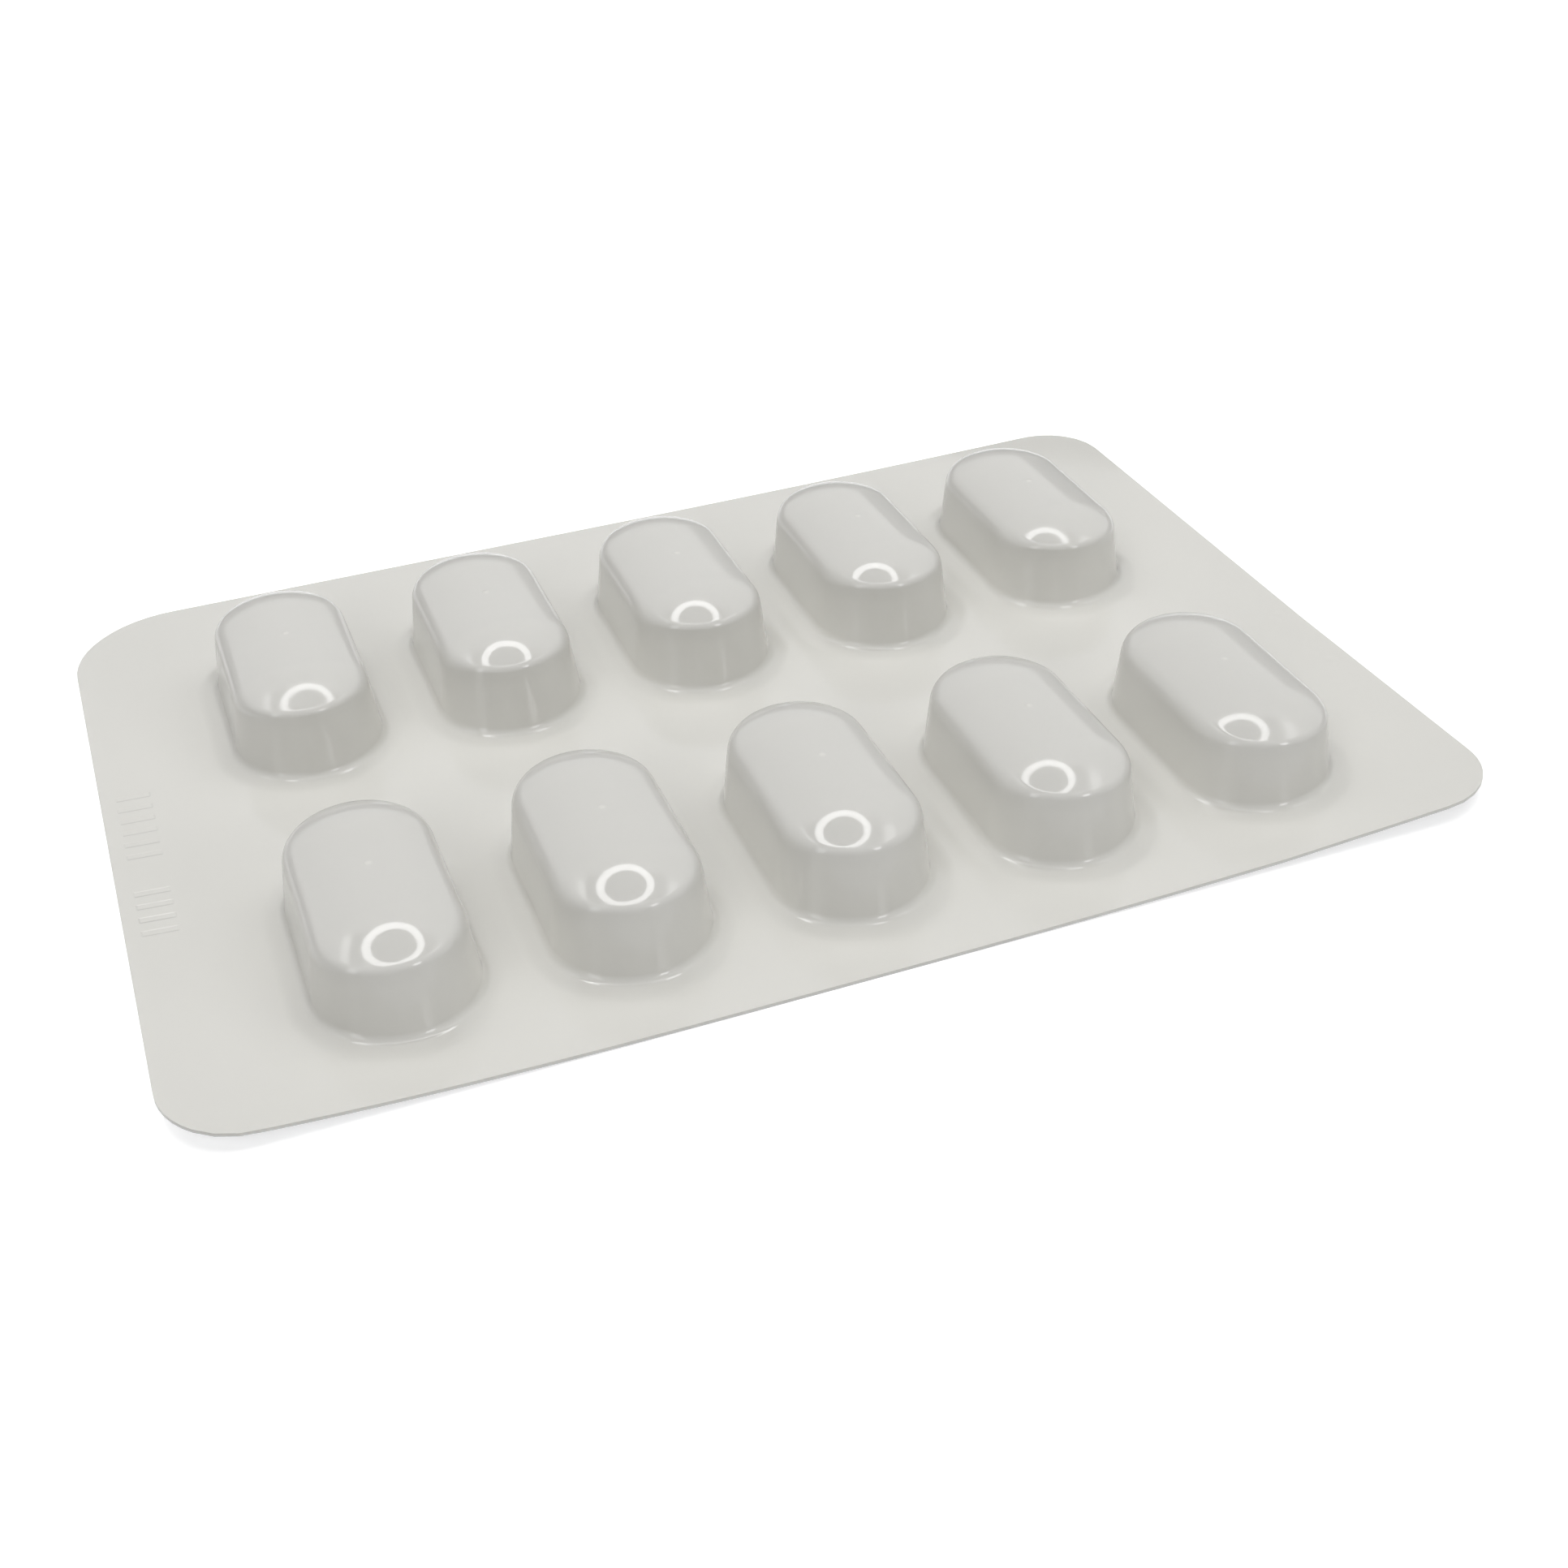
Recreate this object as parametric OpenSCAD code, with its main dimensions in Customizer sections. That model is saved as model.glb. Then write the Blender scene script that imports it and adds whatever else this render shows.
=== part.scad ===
// Push-through blister card with oblong formed pockets, sealed by a flat lidding side.
// Lengths are in millimetres and angles in degrees. The origin is the middle of the flat
// underside. The card's long side runs along X, the pockets lie along Y and stand up along Z.

/* [Pockets] */
// Length of a pocket where its wall meets the flange
pocket_l = 22; // [16:0.1:26]
// Width of a pocket where its wall meets the flange
pocket_w = 12; // [9:0.1:14]
// Height of a pocket's crown above the flange
pocket_h = 7.6; // [5.5:0.1:10]
// Angle by which the pocket wall leans inwards
wall_draft = 6.5; // [2:0.5:12]
// Radius of the crown across a pocket
crown_r = 9.6; // [8:0.1:16]
// Radius of the outer edge between the wall and the crown
edge_r = 0.8; // [0.4:0.1:1.6]
// Radius of the inner corner between the wall and the flange
foot_r = 0.6; // [0.3:0.1:1.2]

/* [Raised rim around a pocket] */
// Width of the low rim that forming leaves around a pocket
rim_w = 1.8; // [1:0.1:2.2]
// Height that the low rim gains towards the pocket wall
rim_h = 0.15; // [0.05:0.05:0.4]

/* [Vent mark on the crown] */
// Radius of the foot of the small round mark that forming leaves on the crown
mark_r = 0.35; // [0.2:0.05:0.8]
// Height of the mark above the crown
mark_h = 0.1; // [0.05:0.01:0.15]

/* [Layout] */
// Pockets side by side in one row
columns = 5; // [2:1:8]
// Rows of pockets
rows = 2; // [1:1:4]
// Flange between two pockets of one row
column_gap = 4.8; // [4:0.1:10]
// Flange between two rows
row_gap = 12; // [4:0.1:20]

/* [Card] */
// Thickness of the flange, film and lidding together
sheet_t = 0.3; // [0.2:0.05:0.8]
// Flange left of the first column
margin_left = 11; // [6:0.1:20]
// Flange right of the last column
margin_right = 9.8; // [6:0.1:20]
// Flange in front of the first row
margin_front = 5.3; // [4:0.1:20]
// Flange behind the last row
margin_back = 10.9; // [4:0.1:20]
// Radius of three of the card's corners, seen from above
corner_r = 5.4; // [2:0.1:10]
// Radius of the back left corner, which is punched rounder
back_left_r = 9; // [2:0.1:10]

/* [Hidden] */
$fn = 96;
film_colour = [0.86, 0.855, 0.835];

// straight steps that stand for each round stretch of the pocket's profile
crown_steps = 3;
edge_steps = 3;
foot_steps = 2;

// pitches and overall size follow from the pockets, the gaps and the margins
column_pitch = pocket_w + column_gap;
row_pitch = pocket_l + row_gap;
card_w = margin_left + columns * pocket_w + (columns - 1) * column_gap + margin_right;
card_d = margin_front + rows * pocket_l + (rows - 1) * row_gap + margin_back;
first_x = -card_w / 2 + margin_left + pocket_w / 2;
first_y = -card_d / 2 + margin_front + pocket_l / 2;

// the card's corners in turn from the front left one: direction along X, along Y, and radius
corners = [
    [-1, -1, corner_r],
    [1, -1, corner_r],
    [1, 1, corner_r],
    [-1, 1, back_left_r]
];

// the pocket's profile, as distance from its middle plane and height
half_w = pocket_w / 2;
straight_l = pocket_l - pocket_w;
crown_z = sheet_t + pocket_h;
crown_centre = [0, crown_z - crown_r];

// tilt at which the crown passes into the edge rounding, from the edge circle that touches
// both the crown's circle and the leaning wall
edge_reach = half_w * cos(wall_draft) - (pocket_h - crown_r) * sin(wall_draft) - edge_r;
edge_tilt = asin(edge_reach / (crown_r - edge_r)) - wall_draft;
edge_centre = crown_centre + (crown_r - edge_r) * [sin(edge_tilt), cos(edge_tilt)];
wall_tilt = 90 - wall_draft;

// centre of the hollow circle that touches the leaning wall and the sloping rim
rim_tilt = atan(rim_h / rim_w);
rim_reach = foot_r + rim_w * sin(rim_tilt);
foot_span = cos(wall_draft + rim_tilt);
foot_x = half_w + (foot_r * cos(rim_tilt) - rim_reach * sin(wall_draft)) / foot_span;
foot_z = sheet_t + (rim_reach * cos(wall_draft) - foot_r * sin(rim_tilt)) / foot_span;

// pockets start half way down the flange, so that they share no face with its underside
seat_z = sheet_t / 2;

// points of an arc about a centre, between two tilts of its outward normal from upright
function arc(centre, radius, from, to, steps) = [
    for (i = [0:steps]) let (tilt = from + (to - from) * i / steps)
        centre + radius * [sin(tilt), cos(tilt)]
];

// middle of a corner's rounding
function corner_middle(corner) = [
    corner[0] * (card_w / 2 - corner[2]),
    corner[1] * (card_d / 2 - corner[2])
];

// the two points where a corner's rounding starts, in turn round the card
function corner_starts(corner) = let (
    on_side = corner_middle(corner) + [corner[0] * corner[2], 0],
    on_end = corner_middle(corner) + [0, corner[1] * corner[2]]
) corner[0] == corner[1] ? [on_side, on_end] : [on_end, on_side];

// right half of the pocket's profile, from the crown down to the rim's outer edge
half_profile = concat(
    arc(crown_centre, crown_r, 0, edge_tilt, crown_steps),
    arc(edge_centre, edge_r, edge_tilt + (wall_tilt - edge_tilt) / edge_steps, wall_tilt, edge_steps - 1),
    arc([foot_x, foot_z], -foot_r, wall_tilt, rim_tilt, foot_steps),
    [[half_w + rim_w, sheet_t], [half_w + rim_w, seat_z], [0, seat_z]]
);

// one round end of a pocket, about the point where its straight part stops
module pocket_end() {
    translate([0, straight_l / 2, 0])
        rotate_extrude(angle = 180)
            polygon(half_profile);
}

// the straight part between the two ends
module pocket_middle() {
    rotate([90, 0, 0])
        linear_extrude(height = straight_l, center = true) {
            polygon(half_profile);
            mirror([1, 0])
                polygon(half_profile);
        }
}

// small round mark in the middle of the crown, a low cone with a flat tip that is sunk into it
module vent_mark() {
    translate([0, 0, crown_z - mark_h])
        cylinder(h = 2 * mark_h, r1 = mark_r, r2 = mark_r - mark_h);
}

module pocket() {
    pocket_middle();
    pocket_end();
    rotate([0, 0, 180])
        pocket_end();
    vent_mark();
}

// the eight points where the roundings start, joined in turn, and a circle in each corner
module card_outline() {
    polygon([
        for (corner = corners)
            for (start = corner_starts(corner)) start
    ]);
    for (corner = corners)
        translate(corner_middle(corner))
            circle(r = corner[2]);
}

module flange() {
    linear_extrude(height = sheet_t)
        card_outline();
}

// the sealed pack, which can't be seen into, as one closed body
module blister_pack() {
    color(film_colour)
        union() {
            flange();
            for (row = [0:rows - 1], column = [0:columns - 1])
                translate([first_x + column * column_pitch, first_y + row * row_pitch, 0])
                    pocket();
        }
}

blister_pack();
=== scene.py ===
"""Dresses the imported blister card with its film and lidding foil, a table, lamps and a camera."""

import math

import bmesh
import bpy
import numpy as np
from bpy.props import FloatProperty, FloatVectorProperty, IntProperty, PointerProperty
from mathutils import Matrix, Vector


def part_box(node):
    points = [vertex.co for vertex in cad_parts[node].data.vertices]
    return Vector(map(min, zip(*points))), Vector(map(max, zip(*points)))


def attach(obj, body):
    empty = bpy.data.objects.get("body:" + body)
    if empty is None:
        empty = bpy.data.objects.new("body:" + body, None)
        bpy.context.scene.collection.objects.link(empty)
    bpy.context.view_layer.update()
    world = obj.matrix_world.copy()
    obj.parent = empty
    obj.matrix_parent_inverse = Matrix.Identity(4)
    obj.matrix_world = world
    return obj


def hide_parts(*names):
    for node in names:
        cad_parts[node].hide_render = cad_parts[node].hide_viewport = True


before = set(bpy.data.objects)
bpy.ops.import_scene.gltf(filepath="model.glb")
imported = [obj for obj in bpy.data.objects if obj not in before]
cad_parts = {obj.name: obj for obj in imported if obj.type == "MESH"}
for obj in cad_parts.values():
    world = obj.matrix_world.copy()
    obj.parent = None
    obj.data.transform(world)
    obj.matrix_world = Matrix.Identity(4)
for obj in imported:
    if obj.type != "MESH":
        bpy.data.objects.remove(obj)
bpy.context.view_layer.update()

bl_info = {
    "name": "Blister card",
    "version": (1, 0, 0),
    "blender": (4, 5, 0),
    "location": "View3D > Sidebar > Blister card",
    "description": "Builds a push-through blister card with its film, foil, lamps and camera",
    "category": "Add Mesh",
}

CARD_NODE = "blister_pack"
MM = 0.001
CARD_LOW, CARD_HIGH = (np.array(corner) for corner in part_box(CARD_NODE))

# small dents in the film: where they are, and how far they reach, in millimetres
DENTS = ((49, -29.3, 1.4, 0.7), (48.3, -14.2, 1.0, 0.8), (48.6, -5.8, 0.9, 0.7), (33.5, -30.6, 7.6, 0.6))

# soft lamps that light the card: name, azimuth and elevation in degrees, and the setting with the light
SOFT_LAMPS = (
    ("front_right_lamp", 45, 15, "front_right_light"),
    ("front_left_lamp", -45, 40, "front_left_light"),
    ("back_left_lamp", -125, 55, "back_left_light"),
    ("right_lamp", 90, 55, "right_light"),
)
LAMP_DISTANCE = 0.6
LAMP_SIZE = 0.35

# panels seen in the gloss: name, azimuth and elevation in degrees, distance, width and height in metres, and
# the setting with the radiance
GLOSS_PANELS = (
    ("left_wing", -116, 55, 0.43, 0.21, 0.06, "wing_light"),
    ("right_wing", 74, 56, 0.42, 0.2, 0.06, "wing_light"),
    ("small_right_lamp", 20, 25, 0.4, 0.07, 0.13, "small_right_light"),
    ("small_left_lamp", -62, 20, 0.4, 0.09, 0.25, "small_left_light"),
)

RING_STEPS = 96
FLAG_STEPS = 44

# corners of a square about its middle, in turn
SQUARE = ((-1, -1), (1, -1), (1, 1), (-1, 1))


def length(name, description, millimetres):
    """A size property, given in millimetres and kept in metres."""
    return FloatProperty(
        name=name, description=description, default=millimetres * MM, unit="LENGTH", precision=5
    )


def angle(name, description, degrees):
    """An angle property, given in degrees."""
    return FloatProperty(name=name, description=description, default=math.radians(degrees), subtype="ANGLE")


def share(name, description, value):
    """A plain number."""
    return FloatProperty(name=name, description=description, default=value)


def colour(name, description, red, green, blue):
    """A colour property, linear."""
    return FloatVectorProperty(
        name=name, description=description, subtype="COLOR", size=3, min=0, max=1, default=(red, green, blue)
    )


class PocketSizes(bpy.types.PropertyGroup):
    """Sizes of one formed pocket: the solid part's, with a softer foot, rim and side edges"""

    length: length("Length", "Pocket length where the wall meets the flange", 22)
    width: length("Width", "Pocket width where the wall meets the flange", 12)
    height: length("Height", "Crown above the flange", 7.6)
    draft: angle("Draft", "Lean of the wall", 6.5)
    crown_radius: length("Crown radius", "Radius of the crown across the pocket", 9.6)
    edge_radius: length("Front edge radius", "Rounding between the wall and the crown at the front", 0.8)
    side_edge_radius: length("Side edge radius", "The same rounding along the sides and at the back end", 1.9)
    foot_radius: length("Foot radius", "Hollow between the wall and the flange", 0.7)
    rim_width: length("Rim width", "Width of the low rim round a pocket", 1.8)
    rim_height: length("Rim height", "Rise of the rim towards the wall", 0.25)
    mark_radius: length("Vent mark radius", "Radius of the small mark on the crown", 0.35)
    mark_height: length("Vent mark height", "Height of the small mark on the crown", 0.05)


class CardSizes(bpy.types.PropertyGroup):
    """Layout of the card, the same as the solid part's, and the curl of its flange"""

    columns: IntProperty(name="Columns", description="Pockets in one row", default=5, min=1)
    rows: IntProperty(name="Rows", description="Rows of pockets", default=2, min=1)
    column_gap: length("Column gap", "Flange between two pockets of a row", 4.8)
    row_gap: length("Row gap", "Flange between two rows", 12)
    margin_left: length("Left margin", "Flange left of the first column", 11)
    margin_front: length("Front margin", "Flange in front of the first row", 5.3)
    corner_radius: length("Corner radius", "Radius of three of the card's corners", 5.4)
    back_left_radius: length("Back left radius", "Radius of the rounder back left corner", 9)
    sheet: length("Flange thickness", "Film and foil together", 0.3)
    foil: length("Foil thickness", "Foil with its seal lacquer", 0.05)
    left_lift: length("Left curl", "Lift at the left end of the front edge", 1.7)
    right_lift: length("Right curl", "Lift at the right end of the front edge", 1.22)
    back_lift: length("Back curl", "Lift at the right end of the back edge", 0.57)
    corner_lift: length("Corner curl", "Further lift of the front right corner", 0.5)


class FilmFinish(bpy.types.PropertyGroup):
    """Colours and gloss of the formed film"""

    flange: colour("Flange", "Film at its full thickness", 0.665, 0.657, 0.622)
    pocket: colour("Pocket", "Film drawn thin over a tablet", 0.61, 0.603, 0.575)
    cut_edge: colour("Cut edge", "Film where the card is punched out", 0.6, 0.595, 0.565)
    index: share("Index", "Refractive index of the film", 1.5)
    roughness: share("Roughness", "Roughness of the glossy film", 0.07)
    rubbed: share("Rubbed", "Roughness that rubbed patches add", 0.07)
    wear_scale: share("Wear scale", "Cells of mottling to a metre of film", 130.0)
    mottle: share("Mottle", "How far the mottling turns to the cut edge's colour", 0.09)
    press_depth: length("Press depth", "Depth of the pressed bars and the dents", 0.035)
    grain_depth: length("Grain depth", "Depth of the fine unevenness", 0.02)
    edge_smooth: share("Edge smooth", "Least roughness of the cut edge", 0.45)
    edge_dull: share("Edge dull", "Greatest roughness of the cut edge", 0.6)
    edge_wear_scale: share("Edge wear scale", "Cells of streaks to a metre of cut edge", 900.0)


class FoilFinish(bpy.types.PropertyGroup):
    """Colour and grain of the lidding foil, and the painted shade between its knurl's tips"""

    metal: colour("Foil", "Bare aluminium", 0.76, 0.765, 0.775)
    # painted shade: a darker copy of the foil's colour, which the foil turns to away from the knurl's tips,
    # in place of the shade between them
    painted_knurl_shade: share("Shade", "Darkest colour of the foil as a share of its bare colour", 0.6)
    painted_knurl_shading: share("Shaded", "How far foil between the knurl's tips turns to that shade", 0.12)
    roughness: share("Roughness", "Roughness of the foil", 0.3)
    rubbed: share("Rubbed", "Roughness that rubbed patches add", 0.12)
    wear_scale: share("Wear scale", "Cells of mottling to a metre of foil", 220.0)
    knurl_pitch: length("Knurl pitch", "Spacing of the seal knurl", 0.8)
    knurl_depth: length("Knurl depth", "Depth of the seal knurl", 0.02)
    crinkle_depth: length("Crinkle depth", "Depth of the fine crinkle", 0.05)


class StageSetup(bpy.types.PropertyGroup):
    """Camera, lamps and table"""

    azimuth: angle("Azimuth", "Camera's turn to the left of the front", 19.48)
    elevation: angle("Elevation", "Camera's height above the horizon", 34.53)
    roll: angle("Roll", "Camera's roll", 2.223)
    distance: length("Distance", "Camera to the point it looks at", 161.98)
    target_x: length("Target X", "Point looked at", 0.38)
    target_y: length("Target Y", "Point looked at", -11.84)
    lens: share("Lens", "Focal length in millimetres on a 36 mm sensor", 47.51)
    room: share("Room light", "Radiance of the room on the card", 0.1)
    ring_x: length("Ring X", "Middle of the ring lamp", -9)
    ring_y: length("Ring Y", "Middle of the ring lamp", 36)
    ring_height: length("Ring height", "Ring lamp above the table", 351)
    ring_outside: length("Ring outside", "Outer radius of the ring lamp", 138)
    ring_width: length("Ring width", "Width of the ring lamp's light band at its sides", 40)
    ring_shift: length("Ring shift", "How much wider the band is at the back than at its sides", 12)
    ring_light: share("Ring light", "Radiance of the ring lamp", 7.1)
    bar_reach: length("Bar reach", "Half the length of the ring lamp's dark bar", 200.1)
    bar_depth: length("Bar depth", "Half the depth of the ring lamp's dark bar", 96.6)
    body_light: share("Body light", "Radiance of the ring lamp's dark body", 0.03)
    front_right_light: share("Front right light", "Share of full light from the low front right lamp", 0.2)
    front_left_light: share("Front left light", "Share of full light from the front left lamp", 0.27)
    back_left_light: share("Back left light", "Share of full light from the high back left lamp", 0.17)
    right_light: share("Right light", "Share of full light from the high right lamp", 0.24)
    wing_light: share("Wing light", "Radiance of the two wings beside the ring lamp", 2.8)
    small_right_light: share("Small right light", "Radiance of the small low lamp at the right", 7.0)
    small_left_light: share("Small left light", "Radiance of the small low lamp at the left", 3.5)
    flag_light: share("Flag light", "Radiance of the grey flag round the back of the card", 0.35)
    flag_radius: length("Flag radius", "Grey flag from the middle of the card", 110)
    flag_height: length("Flag height", "Height of the grey flag", 30)
    table: colour("Table", "Pale table", 0.8, 0.8, 0.8)
    table_half: length("Table half", "Half the side of the table", 1500)
    fade_start: length("Fade start", "Where the table's own glow starts to rise", 80)
    fade_end: length("Fade end", "Where the table's own glow is full", 250)
    shadow_light: share("Shadow light", "Further glow that lightens the shadow in the picture", 0.3)


def arc(centre, radius, first, last, steps):
    """Points of an arc in a section: the centre plus the radius times the sine and cosine of a tilt from
    upright that runs evenly from first to last. A negative radius gives a hollow arc."""
    tilt = np.linspace(first, last, steps + 1)
    return np.stack([centre[0] + radius * np.sin(tilt), centre[1] + radius * np.cos(tilt)], 1)


def smooth_step(value, start, end):
    """Zero up to start, one from end on, and three t squared less two t cubed between them."""
    t = np.clip((value - start) / (end - start), 0, 1)
    return t * t * (3 - 2 * t)


def pocket_section(pocket, sheet, edge_radius):
    """Half of a pocket's section: distance from its middle line, height, and share of stretch in the film.
    A crown arc, an edge arc that touches the crown and the leaning wall, the straight wall, a hollow foot arc
    that touches the wall and the rim, and a rim that eases out to the flange as a cubic."""
    half_w, lean = pocket.width / 2, pocket.draft
    crown_centre = np.array([0, sheet + pocket.height - pocket.crown_radius])
    swing = pocket.crown_radius - edge_radius
    crown_drop = pocket.height - pocket.crown_radius
    edge_reach = half_w * math.cos(lean) - crown_drop * math.sin(lean) - edge_radius
    edge_tilt = math.asin(edge_reach / swing) - lean
    edge_centre = crown_centre + swing * np.array([math.sin(edge_tilt), math.cos(edge_tilt)])
    wall_tilt = math.pi / 2 - lean
    rim_tilt = math.atan(pocket.rim_height / pocket.rim_width)
    rim_reach = pocket.foot_radius + pocket.rim_width * math.sin(rim_tilt)
    span = math.cos(lean + rim_tilt)
    foot_out = (pocket.foot_radius * math.cos(rim_tilt) - rim_reach * math.sin(lean)) / span
    foot_up = (rim_reach * math.cos(lean) - pocket.foot_radius * math.sin(rim_tilt)) / span

    mark_tilt = 1.3 * pocket.mark_radius / pocket.crown_radius
    ridge = arc(crown_centre, pocket.crown_radius, 0, mark_tilt, 5)
    crown = arc(crown_centre, pocket.crown_radius, mark_tilt, edge_tilt, 8)[1:]
    edge = arc(edge_centre, edge_radius, edge_tilt, wall_tilt, 9)[1:]
    foot = arc((half_w + foot_out, sheet + foot_up), -pocket.foot_radius, wall_tilt, rim_tilt, 7)
    wall = edge[-1] + (foot[0] - edge[-1]) * np.linspace(0, 1, 5)[1:-1, None]
    t = np.linspace(0, 1, 6)[1:]
    rim_run = half_w + pocket.rim_width - foot[-1, 0]
    rim_up = foot[-1, 1] - sheet
    ease = rim_up * (2 * t**3 - 3 * t**2 + 1) - rim_run * math.tan(rim_tilt) * (t**3 - 2 * t**2 + t)
    rim = np.stack([foot[-1, 0] + rim_run * t, sheet + ease], 1)

    points = np.concatenate([ridge, crown, edge, wall, foot, rim])
    stretch = smooth_step(points[:, 1], sheet + pocket.height / 2, sheet + 0.9 * pocket.height)
    return points, stretch


def window_section(pocket, level, dish):
    """Section of the foil's underside: level outside the pocket, and dished up a little where it is unsealed,
    with a smooth step between them. Also the share of the unsealed window."""
    half_w = pocket.width / 2
    inside, past = 0.6 * MM, 0.15 * MM
    slope = half_w + np.linspace(-inside, past, 6)[1:]
    out = np.concatenate([np.linspace(0, half_w - inside, 5), slope, [half_w + pocket.rim_width]])
    sealed = smooth_step(out, half_w - inside, half_w + past)
    return np.stack([out, level + dish * (1 - sealed)], 1), 1 - sealed


def level_section(pocket, level):
    """A flat section out to the pocket's rim, with a share of zero."""
    out = np.linspace(0, pocket.width / 2 + pocket.rim_width, 3)
    return np.stack([out, np.full(3, level)], 1), np.zeros(3)


def cells(card, pocket):
    """The middle of each pocket and the rectangle of card round it. Borders lie half way between pockets, and
    the outermost on the card's own edge."""
    low, high = CARD_LOW[:2], CARD_HIGH[:2]
    count = np.array([card.columns, card.rows])
    pitch = np.array([pocket.width + card.column_gap, pocket.length + card.row_gap])
    first = low + [card.margin_left + pocket.width / 2, card.margin_front + pocket.length / 2]
    for place in np.ndindex(card.columns, card.rows):
        middle = first + place * pitch
        cell_low = np.where(np.equal(place, 0), low, middle - pitch / 2)
        cell_high = np.where(np.equal(place, count - 1), high, middle + pitch / 2)
        yield middle, cell_low, cell_high


def walk_round(pocket, middle, cell_low, cell_high):
    """The pocket's middle line walked once round: the point on it and the outward direction there. Along a
    side the point runs on and the direction stays. At an end the point stays and the direction turns, in even
    steps up to the corner of the cell and in even steps past it."""
    half = (pocket.length - pocket.width) / 2
    turn_steps, close_steps, far_steps = 13, 14, 8
    close = 3 * pocket.mark_radius
    far = np.linspace(close, half, far_steps + 1)[1:]
    run = np.concatenate([-far[::-1], np.linspace(-close, close, close_steps + 1), far])
    left, front = middle - cell_low
    right, back = cell_high - middle

    def quarter(side, end):
        corner = math.atan2(end - half, side)
        before = np.linspace(0, corner, turn_steps, endpoint=False)
        return np.append(before, np.linspace(corner, math.pi / 2, turn_steps + 1))

    stretches = [
        (run, np.zeros(len(run))),
        (half, quarter(right, back)[1:]),
        (half, math.pi - quarter(left, back)[-2::-1]),
        (run[-2::-1], np.full(len(run) - 1, math.pi)),
        (-half, math.pi + quarter(left, front)[1:]),
        (-half, 2 * math.pi - quarter(right, front)[-2:0:-1]),
    ]
    along = np.concatenate([np.broadcast_to(place, turned.shape) for place, turned in stretches])
    turned = np.concatenate([turned for _, turned in stretches])
    start = middle + np.stack([np.zeros(len(along)), along], 1)
    return start, np.stack([np.cos(turned), np.sin(turned)], 1)


def nearest_corner_radius(card, points):
    """Radius of the card's corner in whose quarter of the card each point lies."""
    back_left = (points[:, 0] < 0) & (points[:, 1] > 0)
    return np.where(back_left, card.back_left_radius, card.corner_radius)


def reach_to_border(card, start, direction, cell_low, cell_high):
    """How far each direction runs to the cell's border: to the nearer of its two sides, and where that point
    lies in a rounded corner of the card, to the far crossing with the corner's circle."""
    side = np.where(direction > 0, cell_high, cell_low)
    slow = np.where(np.abs(direction) < 1e-9, 1e-9, direction)
    reach = np.abs((side - start) / slow).min(1)
    end = start + reach[:, None] * direction
    corner = nearest_corner_radius(card, end)
    centre = np.clip(end, CARD_LOW[:2] + corner[:, None], CARD_HIGH[:2] - corner[:, None])
    rounded = np.all(centre != end, 1)
    away = start - centre
    nearing = (away * direction).sum(1)
    inside = nearing**2 - (away**2).sum(1) + corner**2
    return np.where(rounded, np.sqrt(np.maximum(inside, 0)) - nearing, reach)


def ring_quads(rings, around, first):
    """Quads between neighbouring rings of a grid, closed round each ring."""
    place = np.arange(rings - 1)[:, None] * around + np.arange(around)
    after = np.arange(rings - 1)[:, None] * around + np.roll(np.arange(around), -1)
    return first + np.stack([place, place + around, after + around, after], -1).reshape(-1, 4)


def card_side(card, pocket, section, front_section, share_of, level):
    """One side of the whole card, as points, quads, a value per point and the border of each cell. In each
    cell the section is carried round the pocket's middle line, and eases over to the front section by a
    smooth step of how far the direction points to the front. Spokes go on from its last ring to the
    border."""
    steps_out = np.linspace(0, 1, 7)[1:] ** 1.4
    front_starts, front_rules = 0.2, 0.9
    points, quads, values, borders = [], [], [], []
    for middle, cell_low, cell_high in cells(card, pocket):
        start, direction = walk_round(pocket, middle, cell_low, cell_high)
        reach = reach_to_border(card, start, direction, cell_low, cell_high)
        last = section[-1, 0]
        if reach.min() <= last:
            raise RuntimeError("A pocket's rim reaches over the border of its cell")
        front = smooth_step(-direction[:, 1], front_starts, front_rules)[:, None]
        inner = section[:, None] + front * (front_section - section)[:, None]
        outer = last + steps_out[:, None] * (reach - last)
        run = np.concatenate([inner[..., 0], outer])
        ring = np.empty(run.shape + (3,))
        ring[..., :2] = start + run[..., None] * direction
        ring[..., 2] = np.concatenate([inner[..., 1], np.full(outer.shape, level)])
        first = sum(len(block) for block in points)
        points.append(ring.reshape(-1, 3))
        quads.append(ring_quads(*run.shape, first))
        values.append(np.repeat(np.append(share_of, np.zeros(len(steps_out))), len(reach)))
        borders.append(first + (len(run) - 1) * len(reach) + np.arange(len(reach)))
    return np.concatenate(points), np.concatenate(quads), np.concatenate(values), borders


def outside_steps(card, points, border):
    """True for each step of a cell's border that lies on the card's own outline: its middle is the corner
    radius away from the outline drawn in by that radius, to a tenth of a millimetre."""
    middle = (points[border] + points[np.roll(border, -1)])[:, :2] / 2
    corner = nearest_corner_radius(card, middle)
    inner = (CARD_HIGH - CARD_LOW)[:2] / 2 - corner[:, None]
    away = np.abs(middle - (CARD_HIGH + CARD_LOW)[:2] / 2) - inner
    distance = np.linalg.norm(np.maximum(away, 0), axis=1) + np.minimum(away.max(1), 0)
    return np.abs(distance - corner) < 0.1 * MM


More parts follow.
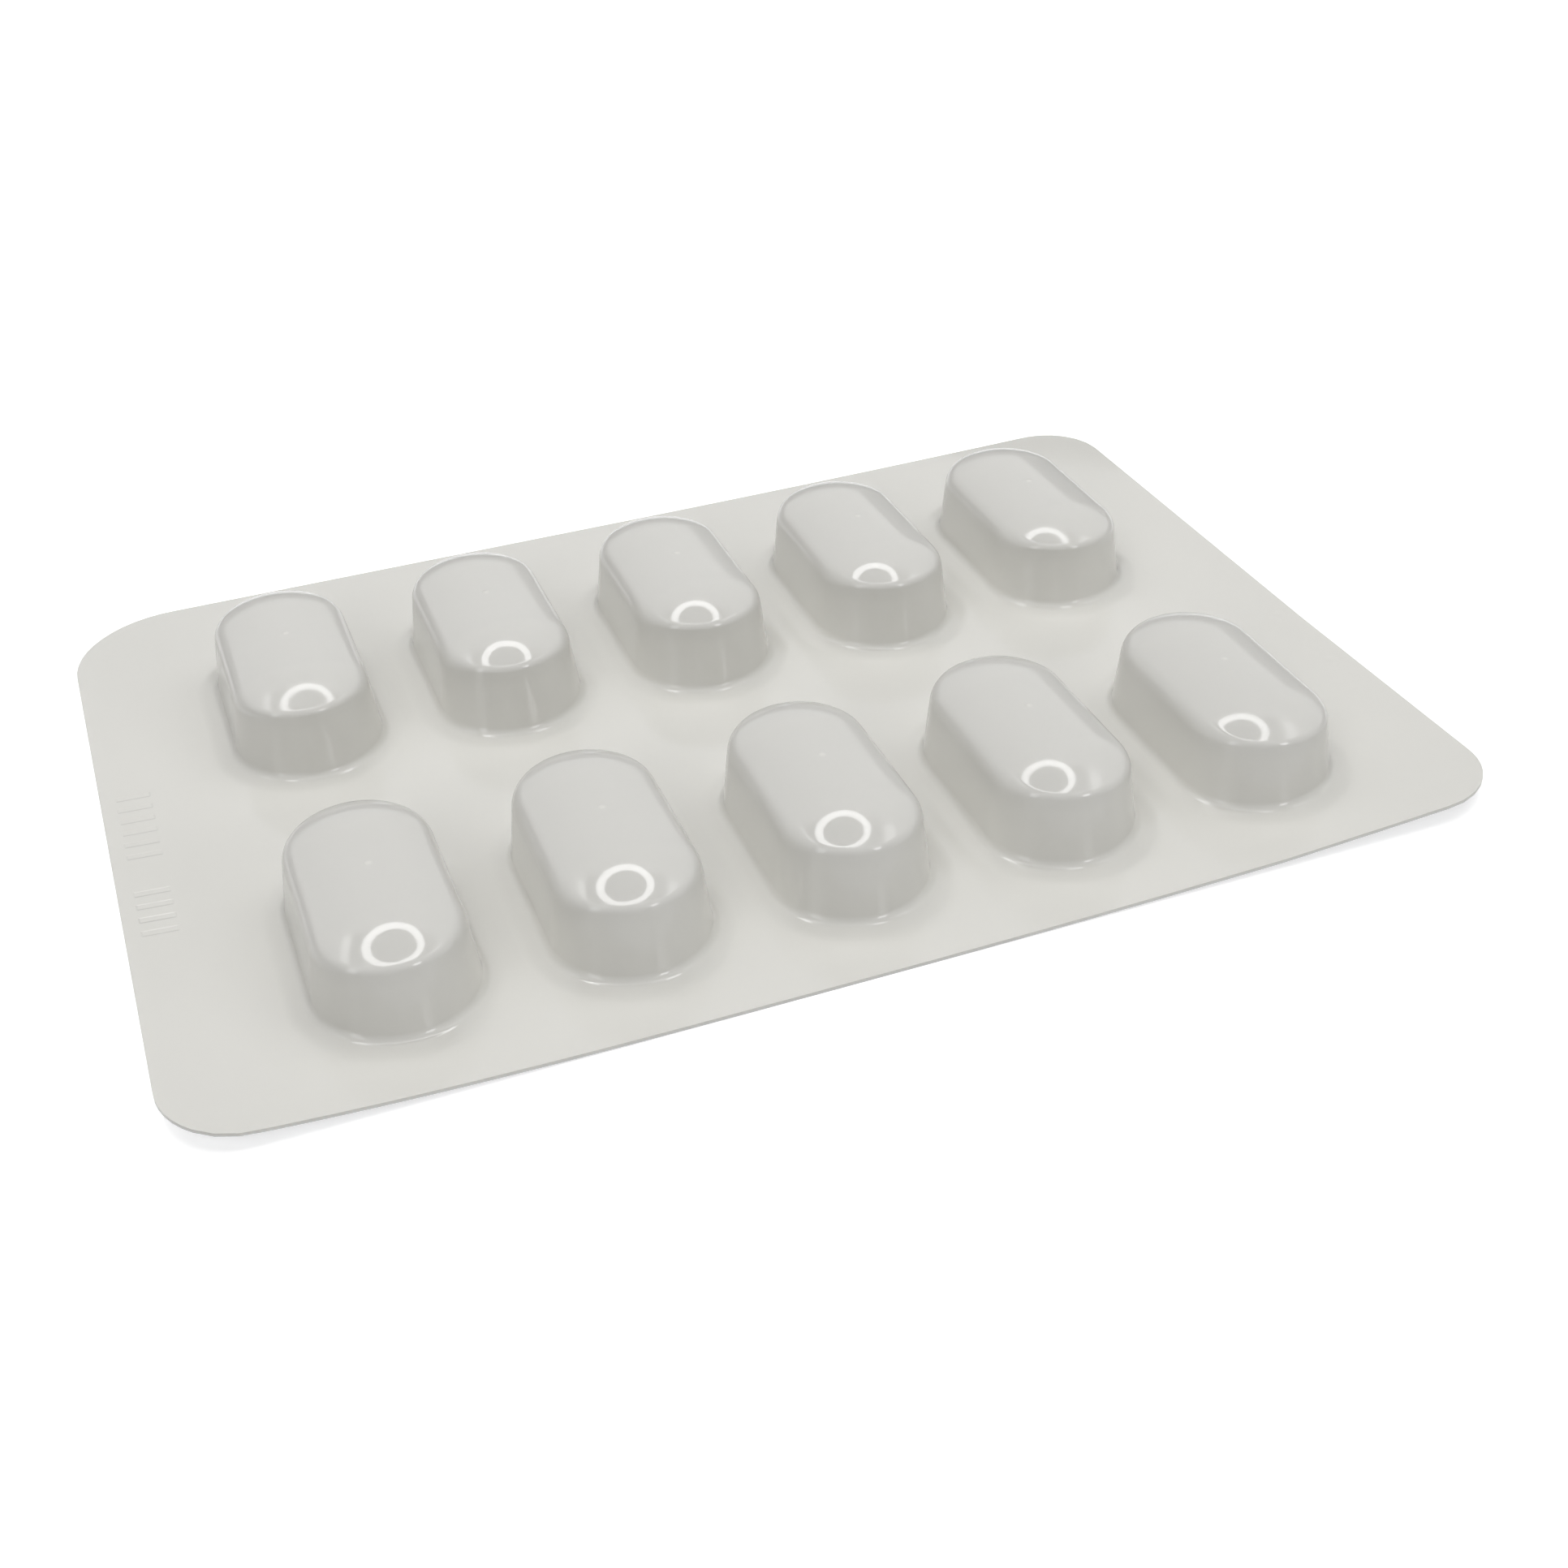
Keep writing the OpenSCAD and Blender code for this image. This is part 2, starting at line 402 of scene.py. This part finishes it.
def closed_card(card, pocket, upper, lower):
    """A closed sheet from its upper and its lower side, with the cut edge between them. Returns the points,
    the quads, a value per point, and the number of quads that belong to the cut edge, which come last."""
    top, top_quads, top_values, borders = card_side(card, pocket, *upper)
    base, base_quads, base_values, base_borders = card_side(card, pocket, *lower)
    strips = []
    for border, under in zip(borders, base_borders):
        strip = np.stack([border, under + len(top), np.roll(under, -1) + len(top), np.roll(border, -1)], 1)
        strips.append(strip[outside_steps(card, top, border)])
    strips = np.concatenate(strips)
    points = np.concatenate([top, base])
    quads = np.concatenate([top_quads, base_quads[:, ::-1] + len(top), strips])
    return points, quads, np.concatenate([top_values, base_values]), len(strips)


def curl(card, pocket, points):
    """Gentle curl of the flange. To the right it rises with the square of the distance from the middle, more
    at the front than at the back, and again towards the front corner. To the left it stays low and turns up
    with the power 3.5, at the front only. The crowns keep their height."""
    left_power, tip = 3.5, 0.4
    across = points[:, 0] / CARD_HIGH[0]
    back = points[:, 1] / (2 * CARD_HIGH[1]) + 0.5
    left = (1 - back) * card.left_lift * np.maximum(-across, 0) ** left_power
    right = ((1 - back) * card.right_lift + back * card.back_lift) * np.maximum(across, 0) ** 2
    corner = np.clip((across - 1 + tip) / tip, 0, 1) * np.clip((tip - back) / tip, 0, 1)
    up = np.clip((points[:, 2] - card.sheet) / pocket.height, 0, 1)
    curled = points.copy()
    curled[:, 2] += (left + right + card.corner_lift * corner) * (1 - up)
    return curled


def vent_marks(card, pocket, points):
    """One in the middle of each crown, falling to zero at the mark's radius as a smooth step of the
    distance."""
    crown = card.sheet + pocket.height - 2 * pocket.mark_height
    flat = 0.4 * pocket.mark_radius
    marked = np.zeros(len(points))
    for middle, _, _ in cells(card, pocket):
        distance = np.linalg.norm(points[:, :2] - middle, axis=1)
        marked += 1 - smooth_step(distance, flat, pocket.mark_radius)
    return marked * (points[:, 2] > crown)


def make_piece(name, points, quads, values, edge_quads, materials):
    """A mesh object from arrays of points and quads, with doubles merged and faces turned outwards."""
    mesh = bpy.data.meshes.new(name)
    mesh.from_pydata(points, [], quads, shade_flat=False)
    mesh.attributes.new("share", "FLOAT", "POINT").data.foreach_set("value", values.astype(np.float32))
    slots = np.zeros(len(quads), np.int32)
    slots[len(quads) - edge_quads:] = len(materials) - 1
    for material in materials:
        mesh.materials.append(material)
    mesh.polygons.foreach_set("material_index", slots)
    shape = bmesh.new()
    shape.from_mesh(mesh)
    bmesh.ops.remove_doubles(shape, verts=shape.verts, dist=0.001 * MM)
    bmesh.ops.recalc_face_normals(shape, faces=shape.faces)
    open_edges = sum(not edge.is_manifold for edge in shape.edges)
    shape.to_mesh(mesh)
    shape.free()
    if open_edges:
        raise RuntimeError(f"{name} has {open_edges} open edges")
    mesh.set_sharp_from_angle(angle=math.radians(50))
    piece = bpy.data.objects.new(name, mesh)
    bpy.context.scene.collection.objects.link(piece)
    return piece


def add_node(tree, kind, inputs=None, **settings):
    """A shader node with its settings, and its inputs linked to sockets or set to values."""
    made = tree.nodes.new(kind)
    for key, value in settings.items():
        setattr(made, key, value)
    for key, value in (inputs or {}).items():
        if isinstance(value, bpy.types.NodeSocket):
            tree.links.new(value, made.inputs[key])
        else:
            made.inputs[key].default_value = value
    return made


def calc(tree, operation, *values):
    """The output of a Math node."""
    return add_node(tree, "ShaderNodeMath", dict(enumerate(values)), operation=operation).outputs[0]


def spread(tree, value, low, high):
    """A value from 0 to 1 spread over a range."""
    return add_node(tree, "ShaderNodeMapRange", {"Value": value, "To Min": low, "To Max": high}).outputs[0]


def new_group(name, inputs, outputs):
    """An empty shader node group with float sockets, and its input and output nodes."""
    tree = bpy.data.node_groups.new(name, "ShaderNodeTree")
    for socket, kind in inputs:
        tree.interface.new_socket(socket, in_out="INPUT", socket_type=kind)
    for socket in outputs:
        tree.interface.new_socket(socket, in_out="OUTPUT", socket_type="NodeSocketFloat")
    return tree, tree.nodes.new("NodeGroupInput").outputs, tree.nodes.new("NodeGroupOutput")


def handling_wear():
    """Group for every surface of the card: slow mottling, faint rubbed patches, and fine unevenness as a
    height."""
    inputs = [("Position", "NodeSocketVector"), ("Scale", "NodeSocketFloat")]
    tree, given, result = new_group("handling_wear", inputs, ["Mottle", "Rub", "Height"])
    slow = add_node(tree, "ShaderNodeTexNoise", {"Vector": given[0], "Scale": given[1], "Detail": 3.0})
    patch_scale = calc(tree, "MULTIPLY", given[1], 0.55)
    patch = add_node(tree, "ShaderNodeTexNoise", {"Vector": given[0], "Scale": patch_scale, "Detail": 5.0})
    patch_range = {"Value": patch.outputs[0], "From Min": 0.5, "From Max": 0.72}
    rub = add_node(tree, "ShaderNodeMapRange", patch_range)
    fine_scale = calc(tree, "MULTIPLY", given[1], 9.0)
    fine = add_node(tree, "ShaderNodeTexNoise", {"Vector": given[0], "Scale": fine_scale, "Detail": 2.0})
    height = calc(tree, "MULTIPLY_ADD", fine.outputs[0], 0.12, slow.outputs[0])
    for key, socket in (("Mottle", slow.outputs[0]), ("Rub", rub.outputs[0]), ("Height", height)):
        tree.links.new(socket, result.inputs[key])
    return tree


def worn_surface(tree, wear, where, scale):
    """The outputs of the wear group, placed in a material."""
    inputs = {"Position": where, "Scale": scale}
    return add_node(tree, "ShaderNodeGroup", inputs, node_tree=wear).outputs


def band(tree, value, middle, half, soft):
    """One where a value is within half of the middle, easing to zero over the soft distance past it."""
    away = calc(tree, "ABSOLUTE", calc(tree, "SUBTRACT", value, middle))
    inputs = {"Value": away, "From Min": half + soft, "From Max": half}
    return add_node(tree, "ShaderNodeMapRange", inputs, interpolation_type="SMOOTHSTEP").outputs[0]


def spot(tree, where, middle, radius):
    """One at a point of the card, easing to zero at the radius from it."""
    ends = {0: where, 1: middle}
    away = add_node(tree, "ShaderNodeVectorMath", ends, operation="DISTANCE").outputs["Value"]
    inputs = {"Value": away, "From Min": radius, "From Max": 0.0}
    return add_node(tree, "ShaderNodeMapRange", inputs, interpolation_type="SMOOTHSTEP").outputs[0]


def batch_bars(tree, where):
    """Two runs of plain pressed bars in the left margin, where a card carries its batch mark."""
    axes = add_node(tree, "ShaderNodeSeparateXYZ", {0: where}).outputs
    pitch, bar_half, soft = 1.7 * MM, 0.22 * MM, 0.18 * MM
    bar_x, bar_reach = -47.5 * MM, 1.2 * MM
    upper_y, upper_reach = 1.7 * MM, 5.1 * MM
    lower_y, lower_reach = -10.2 * MM, 3.4 * MM
    step = calc(tree, "MULTIPLY", calc(tree, "FRACT", calc(tree, "DIVIDE", axes["Y"], pitch)), pitch)
    bars = band(tree, step, pitch / 2, bar_half, soft)
    along_bar = band(tree, axes["X"], bar_x, bar_reach, soft)
    upper = band(tree, axes["Y"], upper_y, upper_reach, soft)
    lower = band(tree, axes["Y"], lower_y, lower_reach, soft)
    runs = calc(tree, "MAXIMUM", upper, lower)
    return calc(tree, "MULTIPLY", calc(tree, "MULTIPLY", bars, along_bar), runs)


def bump(tree, height, distance, under=None):
    """The normal of a bump, laid over another normal where one is given."""
    inputs = {"Height": height, "Distance": distance, "Strength": 1.0}
    if under is not None:
        inputs["Normal"] = under
    return add_node(tree, "ShaderNodeBump", inputs).outputs[0]


def new_material(name):
    """A material, its node tree, its Principled shader and the Object coordinates."""
    material = bpy.data.materials.new(name)
    material.use_nodes = True
    tree = material.node_tree
    where = add_node(tree, "ShaderNodeTexCoord").outputs["Object"]
    return material, tree, tree.nodes["Principled BSDF"], where


def mix_colour(tree, factor, first, second):
    """A colour mixed from two, each a socket or three numbers."""
    made = add_node(tree, "ShaderNodeMix", data_type="RGBA")
    for key, value in (("Factor_Float", factor), ("A_Color", first), ("B_Color", second)):
        socket = next(s for s in made.inputs if s.identifier == key)
        if isinstance(value, bpy.types.NodeSocket):
            tree.links.new(value, socket)
        else:
            socket.default_value = value if key == "Factor_Float" else (*value, 1)
    return next(s for s in made.outputs if s.identifier == "Result_Color")


def film_material(finish, wear):
    """Glossy ivory film: greyer where it is drawn thin, faintly mottled and rubbed, with pressed bars in the
    left margin and a few small dents."""
    material, tree, shader, where = new_material("glossy_film")
    stretch = add_node(tree, "ShaderNodeAttribute", attribute_name="share").outputs["Fac"]
    worn = worn_surface(tree, wear, where, finish.wear_scale)
    base = mix_colour(tree, stretch, finish.flange, finish.pocket)
    mottled = mix_colour(tree, spread(tree, worn["Mottle"], 0.0, finish.mottle), base, finish.cut_edge)
    tree.links.new(mottled, shader.inputs["Base Color"])
    rubbed = calc(tree, "MULTIPLY_ADD", worn["Rub"], finish.rubbed, finish.roughness)
    tree.links.new(rubbed, shader.inputs["Roughness"])
    shader.inputs["IOR"].default_value = finish.index

    pressed = batch_bars(tree, where)
    for x, y, z, radius in DENTS:
        dent = spot(tree, where, (x * MM, y * MM, z * MM), radius * MM)
        pressed = calc(tree, "MAXIMUM", pressed, dent)
    relief = bump(tree, calc(tree, "SUBTRACT", 1.0, pressed), finish.press_depth)
    grain = bump(tree, worn["Height"], finish.grain_depth, relief)
    tree.links.new(grain, shader.inputs["Normal"])
    return material


def cut_edge_material(finish, wear):
    """The punched edge of the card, duller and streaked along its length."""
    material, tree, shader, where = new_material("punched_edge")
    worn = worn_surface(tree, wear, where, finish.edge_wear_scale)
    tinted = mix_colour(tree, worn["Mottle"], finish.cut_edge, finish.flange)
    tree.links.new(tinted, shader.inputs["Base Color"])
    dulled = spread(tree, worn["Rub"], finish.edge_smooth, finish.edge_dull)
    tree.links.new(dulled, shader.inputs["Roughness"])
    return material


def foil_material(finish, wear):
    """Bare aluminium foil: a fine crossed knurl where it is sealed, and smooth and a little crinkled over the
    pockets. Its colour is darkened as painted shade everywhere but at the knurl's tips, over the pockets too."""
    material, tree, shader, where = new_material("lidding_foil")
    window = add_node(tree, "ShaderNodeAttribute", attribute_name="share").outputs["Fac"]
    sealed = calc(tree, "SUBTRACT", 1.0, window)
    worn = worn_surface(tree, wear, where, finish.wear_scale)
    axes = add_node(tree, "ShaderNodeSeparateXYZ", {0: where}).outputs
    turns = 2 * math.pi / finish.knurl_pitch
    ridges = []
    for joined in ("ADD", "SUBTRACT"):
        across = calc(tree, joined, axes["X"], axes["Y"])
        ridges.append(calc(tree, "SINE", calc(tree, "MULTIPLY", across, turns)))
    knurl = calc(tree, "MULTIPLY", calc(tree, "MULTIPLY", *ridges), sealed)
    # painted shade: away from the knurl's tips, and over the unsealed windows, the base colour turns part way
    # to a darker copy of itself
    painted_knurl_shade = [finish.painted_knurl_shade * part for part in finish.metal]
    painted_knurl_shading = mix_colour(tree, spread(tree, knurl, finish.painted_knurl_shading, 0.0), finish.metal, painted_knurl_shade)
    tree.links.new(painted_knurl_shading, shader.inputs["Base Color"])
    rubbed = calc(tree, "MULTIPLY_ADD", worn["Rub"], finish.rubbed, finish.roughness)
    tree.links.new(rubbed, shader.inputs["Roughness"])
    shader.inputs["Metallic"].default_value = 1.0
    relief = bump(tree, knurl, finish.knurl_depth)
    crinkle = bump(tree, worn["Height"], finish.crinkle_depth, relief)
    tree.links.new(crinkle, shader.inputs["Normal"])
    return material


def seen_directly(tree):
    """One for camera, glossy and transmission rays, and zero for the rays that light a surface."""
    path = add_node(tree, "ShaderNodeLightPath").outputs
    seen = calc(tree, "MAXIMUM", path["Is Camera Ray"], path["Is Glossy Ray"])
    return calc(tree, "MAXIMUM", seen, path["Is Transmission Ray"])


def white_room(strength):
    """A world that shows white and lights the card at the given strength."""
    world = bpy.data.worlds.new("white_room")
    world.use_nodes = True
    tree = world.node_tree
    sky = tree.nodes["Background"]
    sky.inputs["Color"].default_value = (1, 1, 1, 1)
    tree.links.new(spread(tree, seen_directly(tree), strength, 1.0), sky.inputs["Strength"])
    bpy.context.scene.world = world


def make_stage_mesh(name, points, faces, material):
    """A mesh object that isn't part of the card."""
    mesh = bpy.data.meshes.new(name)
    mesh.from_pydata(points, [], faces)
    mesh.materials.append(material)
    piece = bpy.data.objects.new(name, mesh)
    bpy.context.scene.collection.objects.link(piece)
    return piece


def table_top(stage):
    """A wide pale plane under the card, which shows white and keeps a light shadow of the card. Away from the
    card, where the lamps fade, its own glow takes over."""
    material, tree, shader, where = new_material("pale_table")
    shader.inputs["Base Color"].default_value = (*stage.table, 1)
    shader.inputs["Roughness"].default_value = 0.9
    shader.inputs["Specular IOR Level"].default_value = 0.0
    shader.inputs["Emission Color"].default_value = (1, 1, 1, 1)
    away = add_node(tree, "ShaderNodeVectorMath", {0: where}, operation="LENGTH").outputs["Value"]
    fade = {"From Min": stage.fade_start, "From Max": stage.fade_end, "To Min": 1.0 - max(stage.table)}
    glow = add_node(tree, "ShaderNodeMapRange", {"Value": away, "To Max": 1.0, **fade}).outputs[0]
    shown = calc(tree, "MULTIPLY", seen_directly(tree), glow)
    camera = add_node(tree, "ShaderNodeLightPath").outputs["Is Camera Ray"]
    lightened = calc(tree, "MULTIPLY_ADD", camera, stage.shadow_light, shown)
    tree.links.new(lightened, shader.inputs["Emission Strength"])
    corners = [(stage.table_half * right, stage.table_half * back, 0) for right, back in SQUARE]
    return make_stage_mesh("table_top", corners, [(0, 1, 2, 3)], material)


def glow_material(name, radiance):
    """A surface that only glows."""
    material = bpy.data.materials.new(name)
    material.use_nodes = True
    tree = material.node_tree
    tree.nodes.clear()
    light = add_node(tree, "ShaderNodeEmission", {"Strength": radiance})
    end = add_node(tree, "ShaderNodeOutputMaterial")
    tree.links.new(light.outputs[0], end.inputs["Surface"])
    return material


def show_only_in_gloss(piece):
    """Keeps a stage piece out of the picture and the shadows, and lets it light nothing."""
    piece.visible_camera = False
    piece.visible_shadow = False
    piece.visible_diffuse = False


def level_arc(middle, radius, first, last, steps):
    """Points of a level arc about a middle: the radius times the cosine and sine of an angle that runs evenly
    from first to last."""
    turned = np.linspace(first, last, steps + 1)
    return middle + radius * np.stack([np.cos(turned), np.sin(turned), np.zeros(steps + 1)], 1)


def ring_lamp(stage):
    """The ring lamp over the card: a flat glowing band, and its dark body, seen only in the gloss, which
    fills the ring and runs out to both sides as a bar."""
    middle = np.array([stage.ring_x, stage.ring_y, stage.ring_height])
    hole_middle = middle - [0, stage.ring_shift, 0]
    hole_radius = stage.ring_outside - stage.ring_width
    rim = level_arc(middle, stage.ring_outside, 0, 2 * math.pi, RING_STEPS)[:-1]
    hole = level_arc(hole_middle, hole_radius, 0, 2 * math.pi, RING_STEPS)[:-1]
    quads = ring_quads(2, RING_STEPS, 0).tolist()
    lit = glow_material("ring_glow", stage.ring_light)
    glow = make_stage_mesh("ring_lamp_glow", np.concatenate([rim, hole]), quads, lit)
    glow.visible_camera = False
    glow.visible_shadow = False

    along = np.array([math.cos(stage.azimuth), -math.sin(stage.azimuth), 0])
    across = np.array([-along[1], along[0], 0])
    above = middle + [0, 0, MM]
    reach, depth = stage.bar_reach * along, stage.bar_depth * across
    bar = [above + right * reach + back * depth for right, back in SQUARE]
    faces = [list(range(RING_STEPS)), list(range(RING_STEPS, RING_STEPS + len(bar)))]
    dark = glow_material("ring_body", stage.body_light)
    show_only_in_gloss(make_stage_mesh("ring_lamp_body", np.concatenate([hole, bar]), faces, dark))


def toward(azimuth, elevation, distance):
    """A point at a distance from the middle of the card, its azimuth in degrees from the front to the right
    and its elevation in degrees from the table."""
    turn, rise = math.radians(azimuth), math.radians(elevation)
    level = math.cos(rise)
    return distance * Vector((math.sin(turn) * level, -math.cos(turn) * level, math.sin(rise)))


def grey_flag(stage):
    """A low grey wall in an arc round the sides and the back of the card, seen only in its gloss, which keeps
    the far edges of the crowns from glaring."""
    past_side = math.radians(20)
    foot = level_arc(np.zeros(3), stage.flag_radius, -past_side, math.pi + past_side, FLAG_STEPS)
    points = np.concatenate([foot, foot + [0, 0, stage.flag_height]])
    place = np.arange(FLAG_STEPS)
    above = place + len(foot)
    quads = np.stack([place, place + 1, above + 1, above], 1).tolist()
    grey = glow_material("grey_flag", stage.flag_light)
    show_only_in_gloss(make_stage_mesh("grey_flag", points, quads, grey))


def gloss_panel(name, place, width, height, radiance):
    """A panel that faces the card and is seen only in its gloss."""
    turn = place.to_track_quat("Z", "Y").to_matrix()
    corners = [place + turn @ Vector((width / 2 * right, height / 2 * up, 0)) for right, up in SQUARE]
    panel = make_stage_mesh(name, corners, [(0, 1, 2, 3)], glow_material(name, radiance))
    show_only_in_gloss(panel)


def panel_lamp(name, place, light):
    """A square soft lamp aimed at the card, which shows in no gloss. The light is the share of full light
    that it gives a surface that faces it, so its power grows with the square of the distance."""
    lamp = bpy.data.lights.new(name, "AREA")
    lamp.shape = "SQUARE"
    lamp.size = LAMP_SIZE
    lamp.energy = light * (math.pi * place.length) ** 2
    holder = bpy.data.objects.new(name, lamp)
    holder.location = place
    holder.rotation_euler = (-place).to_track_quat("-Z", "Y").to_euler()
    holder.visible_camera = False
    holder.visible_glossy = False
    bpy.context.scene.collection.objects.link(holder)


def photo_camera(stage, height):
    """The camera, turned from straight down: by the roll, then up to the elevation, then to the azimuth."""
    turn = (
        Matrix.Rotation(-stage.azimuth, 3, "Z")
        @ Matrix.Rotation(math.pi / 2 - stage.elevation, 3, "X")
        @ Matrix.Rotation(-stage.roll, 3, "Z")
    )
    data = bpy.data.cameras.new("photo_camera")
    data.lens = stage.lens
    data.clip_start = 0.01
    camera = bpy.data.objects.new("photo_camera", data)
    target = Vector((stage.target_x, stage.target_y, height))
    camera.matrix_world = Matrix.Translation(target + turn @ Vector((0, 0, stage.distance))) @ turn.to_4x4()
    bpy.context.scene.collection.objects.link(camera)
    bpy.context.scene.camera = camera


class BLISTER_OT_formed_film(bpy.types.Operator):
    """Build the formed film with its pockets"""

    bl_idname = "blister.formed_film"
    bl_label = "Formed film"

    def execute(self, context):
        scene = context.scene
        card, pocket, finish = scene.card_sizes, scene.pocket_sizes, scene.film_finish
        wear = bpy.data.node_groups.get("handling_wear") or handling_wear()
        side, stretch = pocket_section(pocket, card.sheet, pocket.side_edge_radius)
        front, _ = pocket_section(pocket, card.sheet, pocket.edge_radius)
        flat, unstretched = level_section(pocket, card.foil)
        upper = (side, front, stretch, card.sheet)
        lower = (flat, flat, unstretched, card.foil)
        points, quads, values, edge_quads = closed_card(card, pocket, upper, lower)
        marked = vent_marks(card, pocket, points)
        points[:, 2] += pocket.mark_height * marked
        points, values = curl(card, pocket, points), values * (1 - marked)
        materials = [film_material(finish, wear), cut_edge_material(finish, wear)]
        film = make_piece("formed_film", points, quads, values, edge_quads, materials)
        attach(film, "root")
        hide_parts(CARD_NODE)
        return {"FINISHED"}


class BLISTER_OT_lidding_foil(bpy.types.Operator):
    """Build the lidding foil under the film"""

    bl_idname = "blister.lidding_foil"
    bl_label = "Lidding foil"

    def execute(self, context):
        scene = context.scene
        card, pocket, finish = scene.card_sizes, scene.pocket_sizes, scene.foil_finish
        wear = bpy.data.node_groups.get("handling_wear") or handling_wear()
        flat, sealed = level_section(pocket, card.foil)
        dished, window = window_section(pocket, 0.0, 0.6 * card.foil)
        upper = (flat, flat, sealed, card.foil)
        lower = (dished, dished, window, 0.0)
        points, quads, values, edge_quads = closed_card(card, pocket, upper, lower)
        points = curl(card, pocket, points)
        foil = make_piece("lidding_foil", points, quads, values, edge_quads, [foil_material(finish, wear)])
        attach(foil, "root")
        return {"FINISHED"}


class BLISTER_OT_stage(bpy.types.Operator):
    """Build the table, the lamps and the camera"""

    bl_idname = "blister.stage"
    bl_label = "Table, lamps and camera"

    def execute(self, context):
        scene = context.scene
        stage = scene.stage_setup
        scene.view_settings.view_transform = "Standard"
        white_room(stage.room)
        table_top(stage)
        ring_lamp(stage)
        for name, azimuth, elevation, setting in SOFT_LAMPS:
            panel_lamp(name, toward(azimuth, elevation, LAMP_DISTANCE), getattr(stage, setting))
        for name, azimuth, elevation, distance, width, height, setting in GLOSS_PANELS:
            gloss_panel(name, toward(azimuth, elevation, distance), width, height, getattr(stage, setting))
        grey_flag(stage)
        photo_camera(stage, scene.card_sizes.sheet)
        return {"FINISHED"}


class VIEW3D_PT_blister_card(bpy.types.Panel):
    """Sidebar panel with the card's operators and sizes"""

    bl_label = "Blister card"
    bl_space_type = "VIEW_3D"
    bl_region_type = "UI"
    bl_category = "Blister card"

    def draw(self, context):
        for operator in OPERATORS:
            self.layout.operator(operator.bl_idname)
        for group in GROUPS:
            box = self.layout.box()
            held = getattr(context.scene, group)
            for key in held.bl_rna.properties.keys():
                if key not in {"rna_type", "name"}:
                    box.prop(held, key)


OPERATORS = (BLISTER_OT_formed_film, BLISTER_OT_lidding_foil, BLISTER_OT_stage)
GROUPS = {
    "pocket_sizes": PocketSizes,
    "card_sizes": CardSizes,
    "film_finish": FilmFinish,
    "foil_finish": FoilFinish,
    "stage_setup": StageSetup,
}
CLASSES = (*GROUPS.values(), *OPERATORS, VIEW3D_PT_blister_card)


def register():
    for kind in CLASSES:
        bpy.utils.register_class(kind)
    for name, kind in GROUPS.items():
        setattr(bpy.types.Scene, name, PointerProperty(type=kind))


def unregister():
    for name in GROUPS:
        delattr(bpy.types.Scene, name)
    for kind in reversed(CLASSES):
        bpy.utils.unregister_class(kind)


def main():
    """Builds the pieces and the stage."""
    register()
    bpy.ops.blister.formed_film()
    bpy.ops.blister.lidding_foil()
    bpy.ops.blister.stage()


if __name__ == "__main__":
    main()
